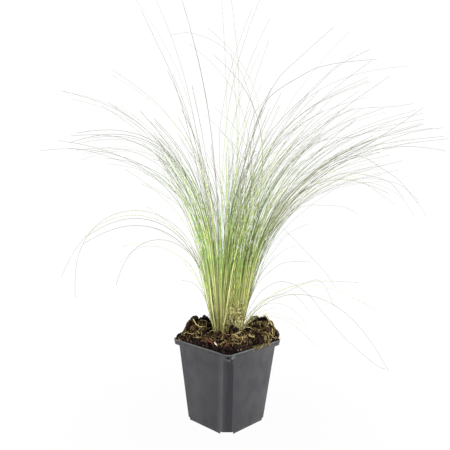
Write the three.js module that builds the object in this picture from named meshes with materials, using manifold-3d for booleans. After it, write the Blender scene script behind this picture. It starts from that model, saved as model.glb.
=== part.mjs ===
// Mexican feather grass in a square nursery pot. Millimetres, +Z up, floor at z = 0.
// X and Y run square to the pot's sides; the pot's axis is the Z axis.
import * as THREE from 'three';
import { mergeVertices } from 'three/addons/utils/BufferGeometryUtils.js';
import Module from 'manifold-3d';

// ---------- driving dimensions ----------

const gap = 0.3; // clear space kept between touching pieces

// pot
const potHeight = 92;
const rimHalf = 45;
const rimRound = 6;
const rimEdge = 0.5; // softened top edge of the rim
const lipHeight = 6;
const lipTaper = 0.9; // the lip draws in this much towards its lower edge
const lipWall = 1.1;
const potWall = 1;
const floorThick = 2;
const footHalf = 33.8;
const neckHalf = 42.4;
const cornerStrip = 7.7; // leg of the flat strip down each corner
const floorChamfer = 22; // the floor starts to climb this far from each corner
const floorClimb = 7;
const footNotchHeight = 2.6;
const footNotchWidth = 13.7;
const footNotchDepth = 8.5;
const drainRadius = 4;
const drainOffset = 19;

// soil: heights in the plant's own directions, x to its right and y to its back
const soilCells = 21;
const soilLevel = 100; // round the stems
const soilFront = 92; // behind the front corner of the rim
const soilEdgeDrop = 1.8; // how much lower it lies along the rim
const soilHalf = rimHalf - lipWall - gap;
const soilMounds = [
  { x: -31, y: 13, rise: 19, width: 20 },
  { x: 38, y: 12, rise: 22, width: 20 },
  { x: 2, y: 36, rise: 8, width: 16 },
];
const stemDip = { x: 9, y: 13 }; // half-widths of the level ground round each clump

// grass: the plant is turned so that its front looks out over a corner of the pot
const plantTurn = THREE.MathUtils.degToRad(43.7);
const crownApothem = 1.95;
const crownPitch = 2 * crownApothem + gap; // the crowns stand in a honeycomb
const rowPitch = crownPitch * Math.cos(Math.PI / 6);
const middleRow = 2.5;
const crownFoot = 82;
const crownTop = 101;
const rootSunk = 7;
const rootRing = 1.45;
const rootRadius = 0.47;
const tipRadius = 0.42;
const clearance = 1.1; // least distance between the middles of two sprays' blades
const leftClump = { x: -9.5, y: -6 };
const rightClump = { x: 12.6, y: 6 };
const middleColumn = 1.25;

// random spread of the blades inside a spray, in degrees or as a part of the value
const splay = 3.2;
const scatter = 2.2;
const fan = 16;
const turnSpread = 9;
const tipSpread = 0.13;
const tipScatter = 4;
const bowSpread = 0.2;
const stiffening = 1.4; // how much straighter the short blades are

const pathSteps = 24;
const mergeTolerance = 0.01;
const degreesPerStep = 20;
const attempts = 40;

// Each spray: column and row of its crown, azimuth, lean at the crown, lean at the tip,
// where along the blade it bends (higher is later), blade length, number of blades, how much
// shorter than the longest its shortest blade may be, and how loosely the blades spread.
const leftSprays = [
  [0, 0, 215, 10, 50, 1.4, 300, 13, 0.74, 1],
  [0, 1, 180, 11, 168, 1.45, 312, 4, 0.3, 0.9],
  [0, 2, 178, 7, 74, 1.5, 358, 6, 0.55, 0.7],
  [0, 3, 172, 12, 160, 1.3, 240, 3, 0.4, 1],
  [0, 4, 180, 7, 96, 1.3, 345, 6, 0.55, 0.6],
  [0, 5, 145, 4, 58, 1.5, 280, 13, 0.74, 1],
  [1, 0, 235, 7, 58, 1.7, 275, 12, 0.74, 1],
  [1, 1, 184, 8, 104, 2.0, 318, 8, 0.65, 0.7],
  [1, 2, 180, 5, 62, 1.5, 320, 9, 0.74, 1],
  [1, 3, 178, 8.5, 34, 2.0, 410, 6, 0.65, 1],
  [1, 4, 170, -2, 42, 2.3, 285, 12, 0.74, 1],
  [1, 5, 125, 3, 70, 1.5, 275, 13, 0.74, 1],
  [2, 0, -65, 1, 74, 1.5, 270, 13, 0.74, 1],
  [2, 1, 15, 8, 56, 1.7, 300, 13, 0.74, 1],
  [2, 2, 178, 5, 20, 1.6, 412, 6, 0.74, 1],
  [2, 3, 175, -2, 9, 2.2, 395, 7, 0.8, 1],
  [2, 4, 5, 2, 26, 2.4, 408, 6, 0.8, 1],
  [2, 5, 60, 4, 84, 1.6, 300, 13, 0.74, 1],
];
const rightSprays = [
  [0, 0, -95, 5, 80, 1.5, 280, 13, 0.74, 1],
  [0, 1, -20, -5, 44, 1.3, 384, 9, 0.74, 1],
  [0, 2, 0, -7, 60, 1.7, 325, 12, 0.74, 1],
  [0, 3, 184, -7, 68, 2.3, 410, 3, 0.25, 1],
  [0, 4, 20, -8, 84, 1.8, 290, 12, 0.74, 1],
  [0, 5, 95, 6, 110, 1.4, 340, 12, 0.74, 1],
  [1, 0, -50, 4, 64, 1.5, 320, 13, 0.74, 1],
  [1, 1, -14, 1, 76, 1.5, 350, 10, 0.7, 1],
  [1, 2, 0, -2, 72, 1.6, 362, 12, 0.72, 1],
  [1, 3, 6, -3, 72, 1.4, 378, 10, 0.74, 1],
  [1, 4, 18, 2, 84, 1.5, 360, 9, 0.72, 1],
  [1, 5, 46, -3, 88, 1.5, 340, 11, 0.74, 1],
  [2, 0, -34, 5, 74, 1.3, 360, 11, 0.7, 1],
  [2, 1, -12, 5, 98, 1.25, 345, 10, 0.7, 1],
  [2, 2, 0, 6, 92, 1.0, 394, 12, 0.4, 0.35],
  [2, 3, 3, 6, 86, 1.05, 392, 9, 0.5, 0.45],
  [2, 4, 6, 9.5, 150, 1.6, 368, 4, 0.25, 0.6],
  [2, 5, 30, 5, 80, 1.3, 360, 10, 0.72, 1],
  [3, 2, -5, 20, 144, 0.66, 212, 3, 0.3, 0.45],
];

// ---------- solids ----------

const wasm = await Module();
wasm.setup();
const { Manifold } = wasm;

function solidOf(geometry) {
  const bare = geometry.clone();
  bare.deleteAttribute('normal');
  bare.deleteAttribute('uv');
  const merged = mergeVertices(bare, 1e-5);
  return new Manifold(new wasm.Mesh({
    numProp: 3,
    vertProperties: new Float32Array(merged.attributes.position.array),
    triVerts: new Uint32Array(merged.index.array),
  }));
}

function geometryOf(solid) {
  const mesh = solid.getMesh();
  const geometry = new THREE.BufferGeometry();
  geometry.setAttribute('position', new THREE.BufferAttribute(mesh.vertProperties, 3));
  geometry.setIndex(new THREE.BufferAttribute(mesh.triVerts, 1));
  geometry.computeVertexNormals();
  return geometry;
}

// A closed solid through convex rings that all have the same number of points.
function loft(rings) {
  const sides = rings[0].length;
  const last = (rings.length - 1) * sides;
  const index = [];
  for (let i = 1; i < sides - 1; i++) {
    index.push(0, i + 1, i, last, last + i, last + i + 1);
  }
  for (let r = 0; r < rings.length - 1; r++) {
    for (let i = 0; i < sides; i++) {
      const a = r * sides + i;
      const b = r * sides + (i + 1) % sides;
      index.push(a, b, b + sides, a, b + sides, a + sides);
    }
  }
  const geometry = new THREE.BufferGeometry().setFromPoints(rings.flat());
  geometry.setIndex(index);
  return solidOf(geometry);
}

// ---------- pot ----------

// A square ring with its corners cut off at 45 degrees.
function cutSquare(half, leg, z) {
  const ring = [];
  for (let corner = 0; corner < 4; corner++) {
    const turn = corner * Math.PI / 2;
    for (const [x, y] of [[half, half - leg], [half - leg, half]]) {
      const p = new THREE.Vector2(x, y).rotateAround(new THREE.Vector2(), turn);
      ring.push(new THREE.Vector3(p.x, p.y, z));
    }
  }
  return ring;
}

// A square ring with rounded corners.
function roundSquare(half, radius, z, steps = 5) {
  const ring = [];
  for (let corner = 0; corner < 4; corner++) {
    for (let i = 0; i <= steps; i++) {
      const centre = new THREE.Vector2(half - radius, half - radius);
      const angle = (i / steps) * Math.PI / 2;
      const p = new THREE.Vector2(Math.cos(angle), Math.sin(angle)).multiplyScalar(radius);
      p.add(centre).rotateAround(new THREE.Vector2(), corner * Math.PI / 2);
      ring.push(new THREE.Vector3(p.x, p.y, z));
    }
  }
  return ring;
}

const lipBottom = potHeight - lipHeight;
const shoulder = lipBottom + lipWall; // top of the ledge where the body steps out to the lip
const bodyHalfAt = (z) => footHalf + (neckHalf - footHalf) * z / lipBottom;
const lipHalfAt = (z) => rimHalf - lipTaper * (potHeight - z) / lipHeight;
const stripLegInside = (wall) => cornerStrip - (2 - Math.SQRT2) * wall;

// The space inside the pot's body, drawn in by an extra gap for what fills it.
function bodySpace(inset) {
  const wall = potWall + inset;
  const leg = stripLegInside(wall);
  const raised = floorThick + floorClimb; // the floor climbs to the corners over the foot notches
  const top = shoulder + 1;
  return loft([
    cutSquare(bodyHalfAt(floorThick) - wall, floorChamfer, floorThick + inset),
    cutSquare(bodyHalfAt(raised) - wall, leg, raised + inset),
    cutSquare(bodyHalfAt(top) - wall, leg, top),
  ]);
}

// The wider space inside the lip, which may go on straight up past the rim.
function lipSpace(inset, top) {
  const wall = lipWall + inset;
  const round = rimRound - wall;
  return loft([
    roundSquare(lipHalfAt(shoulder + inset) - wall, round, shoulder + inset),
    roundSquare(rimHalf - wall, round, potHeight),
    roundSquare(rimHalf - wall, round, top),
  ]);
}

// A low slot under each corner, open to the outside.
function footNotch() {
  const stripDistance = (2 * footHalf - cornerStrip) / Math.SQRT2;
  const past = 20;
  const box = new THREE.BoxGeometry(footNotchDepth + past, footNotchWidth, 2 * footNotchHeight);
  box.translate(stripDistance + (past - footNotchDepth) / 2, 0, 0);
  box.rotateZ(Math.PI / 4);
  return solidOf(box);
}

function drainHole() {
  const hole = new THREE.CylinderGeometry(drainRadius, drainRadius, 4 * floorThick, 16);
  hole.rotateX(Math.PI / 2);
  hole.translate(drainOffset, drainOffset, 0);
  return solidOf(hole);
}

function makePot() {
  const body = loft([
    cutSquare(footHalf, cornerStrip, 0),
    cutSquare(bodyHalfAt(lipBottom + lipWall / 2), cornerStrip, lipBottom + lipWall / 2),
  ]);
  const lip = loft([
    roundSquare(lipHalfAt(lipBottom), rimRound, lipBottom),
    roundSquare(lipHalfAt(potHeight - rimEdge), rimRound, potHeight - rimEdge),
    roundSquare(rimHalf - rimEdge, rimRound - rimEdge, potHeight),
  ]);
  let pot = body.add(lip).subtract(bodySpace(0)).subtract(lipSpace(0, potHeight + 1));
  for (let corner = 0; corner < 4; corner++) {
    pot = pot.subtract(footNotch().rotate([0, 0, 90 * corner]));
    pot = pot.subtract(drainHole().rotate([0, 0, 90 * corner]));
  }
  return pot;
}

// ---------- soil ----------

function turned(x, y, angle) {
  return new THREE.Vector2(x, y).rotateAround(new THREE.Vector2(), angle);
}

const smooth = (from, to, value) => THREE.MathUtils.smoothstep(value, from, to);

// Height of the soil, which is heaped at the sides and back and dips round the stems.
function soilHeight(x, y) {
  const p = turned(x, y, -plantTurn);
  const front = smooth(-18, -56, p.y);
  const fromWall = soilHalf - Math.max(Math.abs(x), Math.abs(y));
  const crumbled = 0.8 + 0.2 * smooth(0, 5, fromWall);
  const edge = soilEdgeDrop * (1 - smooth(0, 5, fromWall));
  const lumps = Math.sin(x * 0.43 + 1.1) * Math.sin(y * 0.47 + 0.4) * 1.3
    + Math.sin(x * 0.9 + y * 0.5) * Math.sin(y * 0.83 - x * 0.3 + 2) * 0.9;
  let open = 1;
  for (const clump of [leftClump, rightClump]) {
    const far = Math.hypot((p.x - clump.x) / stemDip.x, (p.y - clump.y) / stemDip.y);
    open *= smooth(1, 1.9, far);
  }
  let mounds = 0;
  for (const mound of soilMounds) {
    const far = Math.hypot(p.x - mound.x, p.y - mound.y) / mound.width;
    mounds += mound.rise * Math.exp(-far * far);
  }
  const level = (soilLevel - soilFront) * (1 - front);
  return soilFront - edge + (level + mounds * open) * crumbled + lumps * (0.3 + 0.7 * open);
}

function makeSoil(crowns) {
  const size = soilCells + 1;
  const top = new THREE.PlaneGeometry(2 * rimHalf, 2 * rimHalf, soilCells, soilCells);
  const points = top.attributes.position;
  const vertices = [];
  for (const level of ['top', 'bottom']) {
    for (let i = 0; i < points.count; i++) {
      const x = points.getX(i);
      const y = points.getY(i);
      vertices.push(new THREE.Vector3(x, y, level === 'top' ? soilHeight(x, y) : 0));
    }
  }
  const index = [...top.index.array];
  for (let i = 0; i < top.index.count; i += 3) {
    const [a, b, c] = top.index.array.slice(i, i + 3);
    index.push(a + points.count, c + points.count, b + points.count);
  }
  const edge = [];
  for (let i = 0; i < soilCells; i++) edge.push(i);
  for (let i = 0; i < soilCells; i++) edge.push(i * size + soilCells);
  for (let i = soilCells; i > 0; i--) edge.push(soilCells * size + i);
  for (let i = soilCells; i > 0; i--) edge.push(i * size);
  edge.forEach((a, i) => {
    const b = edge[(i + 1) % edge.length];
    index.push(a, b, b + points.count, a, b + points.count, a + points.count);
  });
  const block = new THREE.BufferGeometry().setFromPoints(vertices);
  block.setIndex(index);
  let soil = solidOf(block).intersect(bodySpace(gap).add(lipSpace(gap, 2 * potHeight)));
  for (const side of ['left', 'right']) {
    const clump = crowns.filter((crown) => crown.name.startsWith(side));
    const holes = clump.map((crown) => crownPrism(crown, crownFoot - gap, 2 * potHeight, gap));
    soil = soil.subtract(Manifold.hull(holes));
  }
  return soil;
}

// ---------- grass ----------

function crownPrism(crown, bottom, top, grow) {
  const radius = (crownApothem + grow) / Math.cos(Math.PI / 6);
  const prism = new THREE.CylinderGeometry(radius, radius, top - bottom, 6);
  prism.rotateX(Math.PI / 2);
  prism.translate(crown.x, crown.y, (top + bottom) / 2);
  prism.rotateZ(plantTurn);
  return solidOf(prism);
}

// The same seed always gives the same run of numbers from 0 to 1.
function stream(seed) {
  let state = Math.imul(seed, 2654435761) + 12345 >>> 0;
  const next = () => {
    state = Math.imul(state, 1664525) + 1013904223 >>> 0;
    return state / 4294967296;
  };
  next();
  next();
  next();
  return next;
}

function drawBlade(spray, index, attempt) {
  const draw = stream((spray.number * 64 + index) * 64 + attempt + 1);
  const wobble = () => draw() + draw() + draw() - 1.5;
  const ring = Math.sqrt((index + 0.5) / spray.blades);
  const turn = index * Math.PI * (3 - Math.sqrt(5));
  const offX = ring * Math.cos(turn);
  const offY = ring * Math.sin(turn);
  const azimuth = THREE.MathUtils.degToRad(spray.azimuth);
  const { loose } = spray;
  const outX = loose * (splay * offX + scatter * wobble());
  const outY = loose * (splay * offY + scatter * wobble());
  const leanX = spray.lean * Math.cos(azimuth) + outX;
  const leanY = spray.lean * Math.sin(azimuth) + outY;
  const sideways = offY * Math.cos(azimuth) - offX * Math.sin(azimuth);
  const aside = fan * sideways + turnSpread * wobble();
  const heading = azimuth + THREE.MathUtils.degToRad(loose * aside);
  const further = tipSpread * spray.tip * wobble() + tipScatter * wobble();
  const tip = spray.tip + loose * further;
  const bow = spray.bow * (1 + loose * bowSpread * wobble());
  const share = 1.02 - spray.spread * draw();
  const give = Math.min(1, share) ** stiffening;
  return {
    x: spray.x + rootRing * offX,
    y: spray.y + rootRing * offY,
    leanX,
    leanY,
    tipX: leanX + (tip * Math.cos(heading) - leanX) * give,
    tipY: leanY + (tip * Math.sin(heading) - leanY) * give,
    heading,
    bow,
    length: spray.length * share,
  };
}

function bendAt(blade, t) {
  const q = t ** blade.bow;
  return q * q * (3 - 2 * q);
}

function directionAt(blade, t) {
  const bend = bendAt(blade, t);
  const x = THREE.MathUtils.degToRad(blade.leanX + (blade.tipX - blade.leanX) * bend);
  const y = THREE.MathUtils.degToRad(blade.leanY + (blade.tipY - blade.leanY) * bend);
  const lean = Math.hypot(x, y);
  const flat = lean > 0 ? Math.sin(lean) / lean : 1;
  return new THREE.Vector3(x * flat, y * flat, Math.cos(lean));
}

// Points along a blade, set closer together where it bends.
function tracePath(blade) {
  const turnTotal = Math.hypot(blade.tipX - blade.leanX, blade.tipY - blade.leanY);
  const steps = 2 + Math.round(turnTotal / degreesPerStep);
  const point = new THREE.Vector3(blade.x, blade.y, crownTop - 0.5);
  const path = [point.clone()];
  for (let i = 0; i < pathSteps; i++) {
    const t = (i + 0.5) / pathSteps;
    point.addScaledVector(directionAt(blade, t), blade.length / pathSteps);
    const end = (i + 1) / pathSteps;
    const share = 0.4 * end + 0.6 * bendAt(blade, end);
    if (share * steps >= path.length - 1e-9) path.push(point.clone());
  }
  return path;
}

function segmentDistance(a, b, c, d) {
  const u = b.clone().sub(a);
  const v = d.clone().sub(c);
  const w = a.clone().sub(c);
  const uu = u.dot(u);
  const vv = v.dot(v);
  const uv = u.dot(v);
  const uw = u.dot(w);
  const vw = v.dot(w);
  const clamp = (value) => Math.min(1, Math.max(0, value));
  const spread = uu * vv - uv * uv;
  let s = spread > 1e-9 ? clamp((uv * vw - uw * vv) / spread) : 0;
  const t = clamp((uv * s + vw) / vv);
  s = clamp((uv * t - uw) / uu);
  return w.addScaledVector(u, s).addScaledVector(v, -t).length();
}

function pathsClear(path, others) {
  const box = new THREE.Box3().setFromPoints(path).expandByScalar(clearance);
  for (const other of others) {
    if (!box.intersectsBox(other.box)) continue;
    for (let i = 1; i < path.length; i++) {
      for (let j = 1; j < other.path.length; j++) {
        const distance = segmentDistance(path[i - 1], path[i], other.path[j - 1], other.path[j]);
        if (distance < clearance) return false;
      }
    }
  }
  return true;
}

// Each blade is drawn again until it comes clear of the sprays that grew before it.
function growBlades(sprays) {
  const grown = [];
  for (const spray of sprays) {
    const own = [];
    for (let index = 0; index < spray.blades; index++) {
      for (let attempt = 0; attempt < attempts; attempt++) {
        const blade = drawBlade(spray, index, attempt);
        const path = tracePath(blade);
        if (!pathsClear(path, grown)) continue;
        own.push({ blade, path, box: new THREE.Box3().setFromPoints(path) });
        break;
      }
    }
    spray.grown = own;
    grown.push(...own);
  }
}

function bladeSolid({ blade, path }) {
  const side = new THREE.Vector3(-Math.sin(blade.heading), Math.cos(blade.heading), 0);
  const sunk = path[0].clone();
  sunk.z -= rootSunk;
  const points = [sunk, ...path];
  const rings = points.map((point, i) => {
    const before = points[Math.max(i - 1, 0)];
    const after = points[Math.min(i + 1, points.length - 1)];
    const along = after.clone().sub(before).normalize();
    const across = side.clone().cross(along).normalize();
    const flank = along.clone().cross(across);
    const radius = THREE.MathUtils.lerp(rootRadius, tipRadius, i / (points.length - 1));
    return [0, 1, 2].map((corner) => {
      const angle = corner * 2 * Math.PI / 3;
      return point.clone()
        .addScaledVector(across, -radius * Math.cos(angle))
        .addScaledVector(flank, -radius * Math.sin(angle));
    });
  });
  return loft(rings);
}

function makeSpray(spray) {
  const crown = crownPrism(spray, crownFoot, crownTop, 0);
  const blades = spray.grown.map((one) => {
    return bladeSolid(one).rotate([0, 0, THREE.MathUtils.radToDeg(plantTurn)]);
  });
  return Manifold.union([crown, ...blades]).simplify(mergeTolerance);
}

function layOut(table, clump, side, firstNumber) {
  return table.map(([column, row, azimuth, lean, tip, bow, length, blades, spread, loose], i) => ({
    name: `${side}_spray_${String(i + 1).padStart(2, '0')}`,
    number: firstNumber + i,
    x: clump.x + crownPitch * (column + (row % 2) / 2 - middleColumn),
    y: clump.y + rowPitch * (row - middleRow),
    azimuth,
    lean,
    tip,
    bow,
    length,
    blades,
    spread,
    loose,
  }));
}

// ---------- materials and scene graph ----------

const potPlastic = new THREE.MeshStandardMaterial({ color: 0x2b2b2e, roughness: 0.55 });
const peat = new THREE.MeshStandardMaterial({ color: 0x2a211b, roughness: 0.95 });
const leafGreen = new THREE.MeshStandardMaterial({ color: 0x7f9650, roughness: 0.6 });

const sprays = [
  ...layOut(leftSprays, leftClump, 'left', 1),
  ...layOut(rightSprays, rightClump, 'right', 1 + leftSprays.length),
];
growBlades(sprays);

const group = new THREE.Group();

function addMesh(name, solid, material) {
  const mesh = new THREE.Mesh(geometryOf(solid), material);
  mesh.name = name;
  group.add(mesh);
}

addMesh('pot', makePot(), potPlastic);
addMesh('soil', makeSoil(sprays), peat);
for (const spray of sprays) {
  addMesh(spray.name, makeSpray(spray), leafGreen);
}

export default group;
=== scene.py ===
import math
import random

import bmesh
import bpy
import numpy as np
from mathutils import Matrix, Vector, noise
from mathutils.bvhtree import BVHTree


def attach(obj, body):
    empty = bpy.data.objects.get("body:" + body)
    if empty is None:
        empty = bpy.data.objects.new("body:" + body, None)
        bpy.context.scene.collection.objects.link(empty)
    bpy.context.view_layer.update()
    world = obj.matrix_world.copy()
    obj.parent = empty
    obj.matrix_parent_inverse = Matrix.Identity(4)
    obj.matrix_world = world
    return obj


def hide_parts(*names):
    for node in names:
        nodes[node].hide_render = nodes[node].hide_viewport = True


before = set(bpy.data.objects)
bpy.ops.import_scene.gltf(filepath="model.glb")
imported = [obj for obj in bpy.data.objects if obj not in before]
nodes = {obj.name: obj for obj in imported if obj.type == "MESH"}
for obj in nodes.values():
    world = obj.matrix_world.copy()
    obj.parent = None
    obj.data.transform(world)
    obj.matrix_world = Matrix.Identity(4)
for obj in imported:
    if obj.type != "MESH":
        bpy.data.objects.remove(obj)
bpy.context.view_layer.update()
mm = 0.001
plantTurn = math.radians(43.7)  # the tuft is turned this far against the sides of the pot
clumps = {"left": (-9.5, -6), "right": (12.6, 6)}  # middles of the two clumps of stems
clumpReach = (6.4, 11)  # how far each clump reaches across and away from its middle
print("frame loaded:", len(nodes), "nodes")


def onPlant(x, y, z):  # millimetres across, away and up, as the tuft stands
    return Matrix.Rotation(plantTurn, 3, "Z") @ (Vector((x, y, z)) * mm)


def smooth(start, end, value):
    share = min(1, max(0, (value - start) / (end - start)))
    return share * share * (3 - 2 * share)


# shader helpers

def newNode(tree, kind, inputs=None, **settings):
    node = tree.nodes.new("ShaderNode" + kind)
    for name, value in settings.items():
        setattr(node, name, value)
    for name, value in (inputs or {}).items():
        if isinstance(value, bpy.types.NodeSocket):
            tree.links.new(value, node.inputs[name])
        else:
            node.inputs[name].default_value = value
    return node


def newMaterial(name, inputs):
    material = bpy.data.materials.new(name)
    material.use_nodes = True
    shader = material.node_tree.nodes["Principled BSDF"]
    for key, value in inputs.items():
        shader.inputs[key].default_value = value
    return material, material.node_tree, shader


def objectPlace(tree):
    return newNode(tree, "TexCoord").outputs["Object"]


def attributeNode(tree, name):
    return newNode(tree, "Attribute", attribute_name=name).outputs["Fac"]


def cameraRays(tree):
    return newNode(tree, "LightPath").outputs["Is Camera Ray"]


def noiseNode(tree, vector, scale, detail):
    node = newNode(tree, "TexNoise", {"Vector": vector, "Scale": scale, "Detail": detail})
    return node.outputs["Fac"]


def mathNode(tree, operation, first, second=0.5):
    return newNode(tree, "Math", {0: first, 1: second}, operation=operation).outputs[0]


def rangeNode(tree, value, start, end, low=0, high=1):  # low up to start and high from end
    node = newNode(tree, "MapRange", {"Value": value, "From Min": start, "From Max": end,
                                      "To Min": low, "To Max": high})
    return node.outputs["Result"]


def rampNode(tree, factor, stops):
    ramp = newNode(tree, "ValToRGB", {"Fac": factor})
    for i, (place, colour) in enumerate(stops):
        if i < 2:
            stop = ramp.color_ramp.elements[i]
            stop.position = place
        else:
            stop = ramp.color_ramp.elements.new(place)
        stop.color = (*colour, 1)
    return ramp.outputs["Color"]


def mixNode(tree, factor, first, second, blend="MIX"):  # 0, 6 and 7 are its colour sockets
    mix = newNode(tree, "Mix", {0: factor, 6: first, 7: second}, data_type="RGBA", blend_type=blend)
    return mix.outputs[2]


# Cloudy patches of two colours over a surface, with a finer height for its bump.
def makeMottle():
    tree = bpy.data.node_groups.new("mottle", "ShaderNodeTree")
    for name, way, kind in (("First", "INPUT", "Color"), ("Second", "INPUT", "Color"),
                            ("Scale", "INPUT", "Float"), ("Softness", "INPUT", "Float"),
                            ("Colour", "OUTPUT", "Color"), ("Mask", "OUTPUT", "Float"),
                            ("Height", "OUTPUT", "Float")):
        tree.interface.new_socket(name, in_out=way, socket_type="NodeSocket" + kind)
    given = tree.nodes.new("NodeGroupInput").outputs
    result = tree.nodes.new("NodeGroupOutput").inputs
    place = objectPlace(tree)
    patches = noiseNode(tree, place, given["Scale"], 3)
    low = mathNode(tree, "SUBTRACT", 0.5, given["Softness"])
    high = mathNode(tree, "ADD", 0.5, given["Softness"])
    mask = rangeNode(tree, patches, low, high)
    finer = mathNode(tree, "MULTIPLY", given["Scale"], 6)
    tree.links.new(mixNode(tree, mask, given["First"], given["Second"]), result["Colour"])
    tree.links.new(mask, result["Mask"])
    tree.links.new(noiseNode(tree, place, finer, 4), result["Height"])
    return tree


mottle = makeMottle()


def mottleNode(tree, first, second, scale, softness):
    node = tree.nodes.new("ShaderNodeGroup")
    node.node_tree = mottle
    node.inputs["First"].default_value = (*first, 1)
    node.inputs["Second"].default_value = (*second, 1)
    node.inputs["Scale"].default_value = scale
    node.inputs["Softness"].default_value = softness
    return node.outputs


def linkBump(tree, shader, height, strength, distance):
    bump = newNode(tree, "Bump", {"Height": height, "Strength": strength, "Distance": distance})
    tree.links.new(bump.outputs["Normal"], shader.inputs["Normal"])


# piece helpers

def finishPiece(name, shape, materials, slot=None, stands=(), soft=True):
    mesh = bpy.data.meshes.new(name)
    shape.to_mesh(mesh)
    shape.free()
    piece = bpy.data.objects.new(name, mesh)
    bpy.context.scene.collection.objects.link(piece)
    for material in materials:
        mesh.materials.append(material)
    if soft:
        mesh.shade_smooth()
    if slot:
        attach(piece, "root")
    if stands:
        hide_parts(*stands)
    return piece


def copyOf(node):  # the node's mesh with its loose triangles joined up
    shape = bmesh.new()
    shape.from_mesh(nodes[node].data)
    bmesh.ops.remove_doubles(shape, verts=shape.verts, dist=1e-6)
    return shape


# camera, floor and light

shot = {
    "place": (-4.9, -554, 249),
    "lens": 39.04,
    "sensor": 36,
    "down": 0.0474,  # radians below level
    "roll": 0.0177,
    "farthest": 50,
}

cameraData = bpy.data.cameras.new("camera")
cameraData.lens = shot["lens"]
cameraData.sensor_width = shot["sensor"]
cameraData.clip_end = shot["farthest"]
camera = bpy.data.objects.new("camera", cameraData)
bpy.context.scene.collection.objects.link(camera)
bpy.context.scene.camera = camera
camera.matrix_world = (
    Matrix.Translation(onPlant(*shot["place"]))
    @ Matrix.Rotation(plantTurn, 4, "Z")
    @ Matrix.Rotation(math.radians(90) - shot["down"], 4, "X")
    @ Matrix.Rotation(shot["roll"], 4, "Z")
)

# each light: where it stands, its size and its power
lights = {
    "left_panel": {"place": (-1000, -160, 300), "size": 0.9, "power": 14},
    "right_panel": {"place": (1000, -120, 320), "size": 0.9, "power": 17},
    "top_panel": {"place": (120, -620, 1150), "size": 0.7, "power": 29},
    "back_panel": {"place": (100, 1000, 900), "size": 1.2, "power": 8},
}
lightAim = (0, 0, 180)

for name, light in lights.items():
    data = bpy.data.lights.new(name, "AREA")
    data.shape = "DISK"
    data.size = light["size"]
    data.energy = light["power"]
    lamp = bpy.data.objects.new(name, data)
    bpy.context.scene.collection.objects.link(lamp)
    place = onPlant(*light["place"])
    aim = (place - onPlant(*lightAim)).to_track_quat("Z", "Y")
    lamp.matrix_world = Matrix.Translation(place) @ aim.to_matrix().to_4x4()

studio = {
    "cast": 0.26,  # how brightly the backdrop lights the object, and how bright it looks
    "seen": 1.03,
    "floorColour": (0.93, 0.93, 0.93, 1),
    "floorRoughness": 0.8,
    "floorGlow": 0.8,
    "floorSeenWithShadow": (0.98, 1.03),  # a painted shadow beside the pot, and the plain floor further away
    "shadowPoolSize": (0.06, 0.45),
    "floorRadius": 12,
    "floorDrop": 0.0002,
}

world = bpy.data.worlds.new("studio")
bpy.context.scene.world = world
world.use_nodes = True
backdrop = world.node_tree.nodes["Background"]
backdrop.inputs["Color"].default_value = (1, 1, 1, 1)
tree = world.node_tree
strength = rangeNode(tree, cameraRays(tree), 0, 1, studio["cast"], studio["seen"])
tree.links.new(strength, backdrop.inputs["Strength"])
bpy.context.scene.view_settings.view_transform = "Standard"


def makeFloorMaterial():  # it lights the pot from below but is only just white to look at, with a painted shadow round the pot
    material, tree, shader = newMaterial("pale_floor", {
        "Base Color": studio["floorColour"],
        "Roughness": studio["floorRoughness"],
        "Emission Color": (1, 1, 1, 1),
        "Emission Strength": studio["floorGlow"],
    })
    far = newNode(tree, "VectorMath", {0: objectPlace(tree)}, operation="LENGTH").outputs["Value"]
    # painted shadow: the floor the camera sees is dimmer near the pot
    glowWithShadow = rangeNode(tree, far, *studio["shadowPoolSize"], *studio["floorSeenWithShadow"])
    seen = newNode(tree, "Emission", {"Strength": glowWithShadow}).outputs["Emission"]
    mix = newNode(tree, "MixShader", {0: cameraRays(tree), 1: shader.outputs["BSDF"], 2: seen})
    tree.links.new(mix.outputs["Shader"], tree.nodes["Material Output"].inputs["Surface"])
    return material


floorMaterial = makeFloorMaterial()
shape = bmesh.new()
bmesh.ops.create_circle(shape, cap_ends=True, segments=96, radius=studio["floorRadius"])
bmesh.ops.translate(shape, verts=shape.verts, vec=(0, 0, -studio["floorDrop"]))
floor = finishPiece("floor", shape, [floorMaterial], soft=False)
print("camera, floor and lights set")


# pot

# a range here holds a start and an end, and then how much there is at each of them
pot = {
    "softEdge": 0.00028,
    "sharp": math.radians(24),  # edges that turn further than this are softened
    "creased": math.radians(30),
    "dark": (0.002, 0.002, 0.0040),
    "light": (0.0050, 0.0048, 0.0078),
    "patches": (55, 0.16),  # scale and softness
    "scuff": (0.025, 0.025, 0.029, 1),
    "scuffStretch": (260, 260, 22),
    "scuffRange": (0.56, 0.8, 0, 0.5),
    "peatDust": (0.024, 0.018, 0.013, 1),
    "lowDust": (0.018, 0, 0, 0.35),  # by height
    "highDust": (0.072, 0.09, 0, 0.4),
    "dustScale": 240,
    "dustSpots": (0.5, 0.68),
    # a painted highlight along the top of the lip, and the heights it spans
    "lipHighlight": (0.085, 0.092, 0.085, 1),
    "lipHighlightHeight": (0.0903, 0.0916),
    "sheen": (0.018, 0.018, 0.020, 1),
    "sheenRight": (-0.001, -0.009),  # sideways over the cut-off front corner
    "sheenLeft": (-0.016, -0.009),
    "marks": (  # where, how big and how pale: lime on the corner, a smudge and a scrape
        ((0.0425, -0.0405, 0.0860), 0.0085, (0.10, 0.12, 0.10, 1)),
        ((-0.003, -0.0420, 0.0770), 0.0100, (0.001, 0.001, 0.001, 1)),
        ((0.008, -0.0420, 0.0820), 0.0050, (0.07, 0.07, 0.078, 1)),
    ),
    "markCore": 0.3,  # the part of a mark's size that has its full tone
    "roughness": (0.3, 1.6, 0.36, 0.58),
    "grain": (1500, 0.12, 0.0002),  # scale, strength and depth
}


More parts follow.
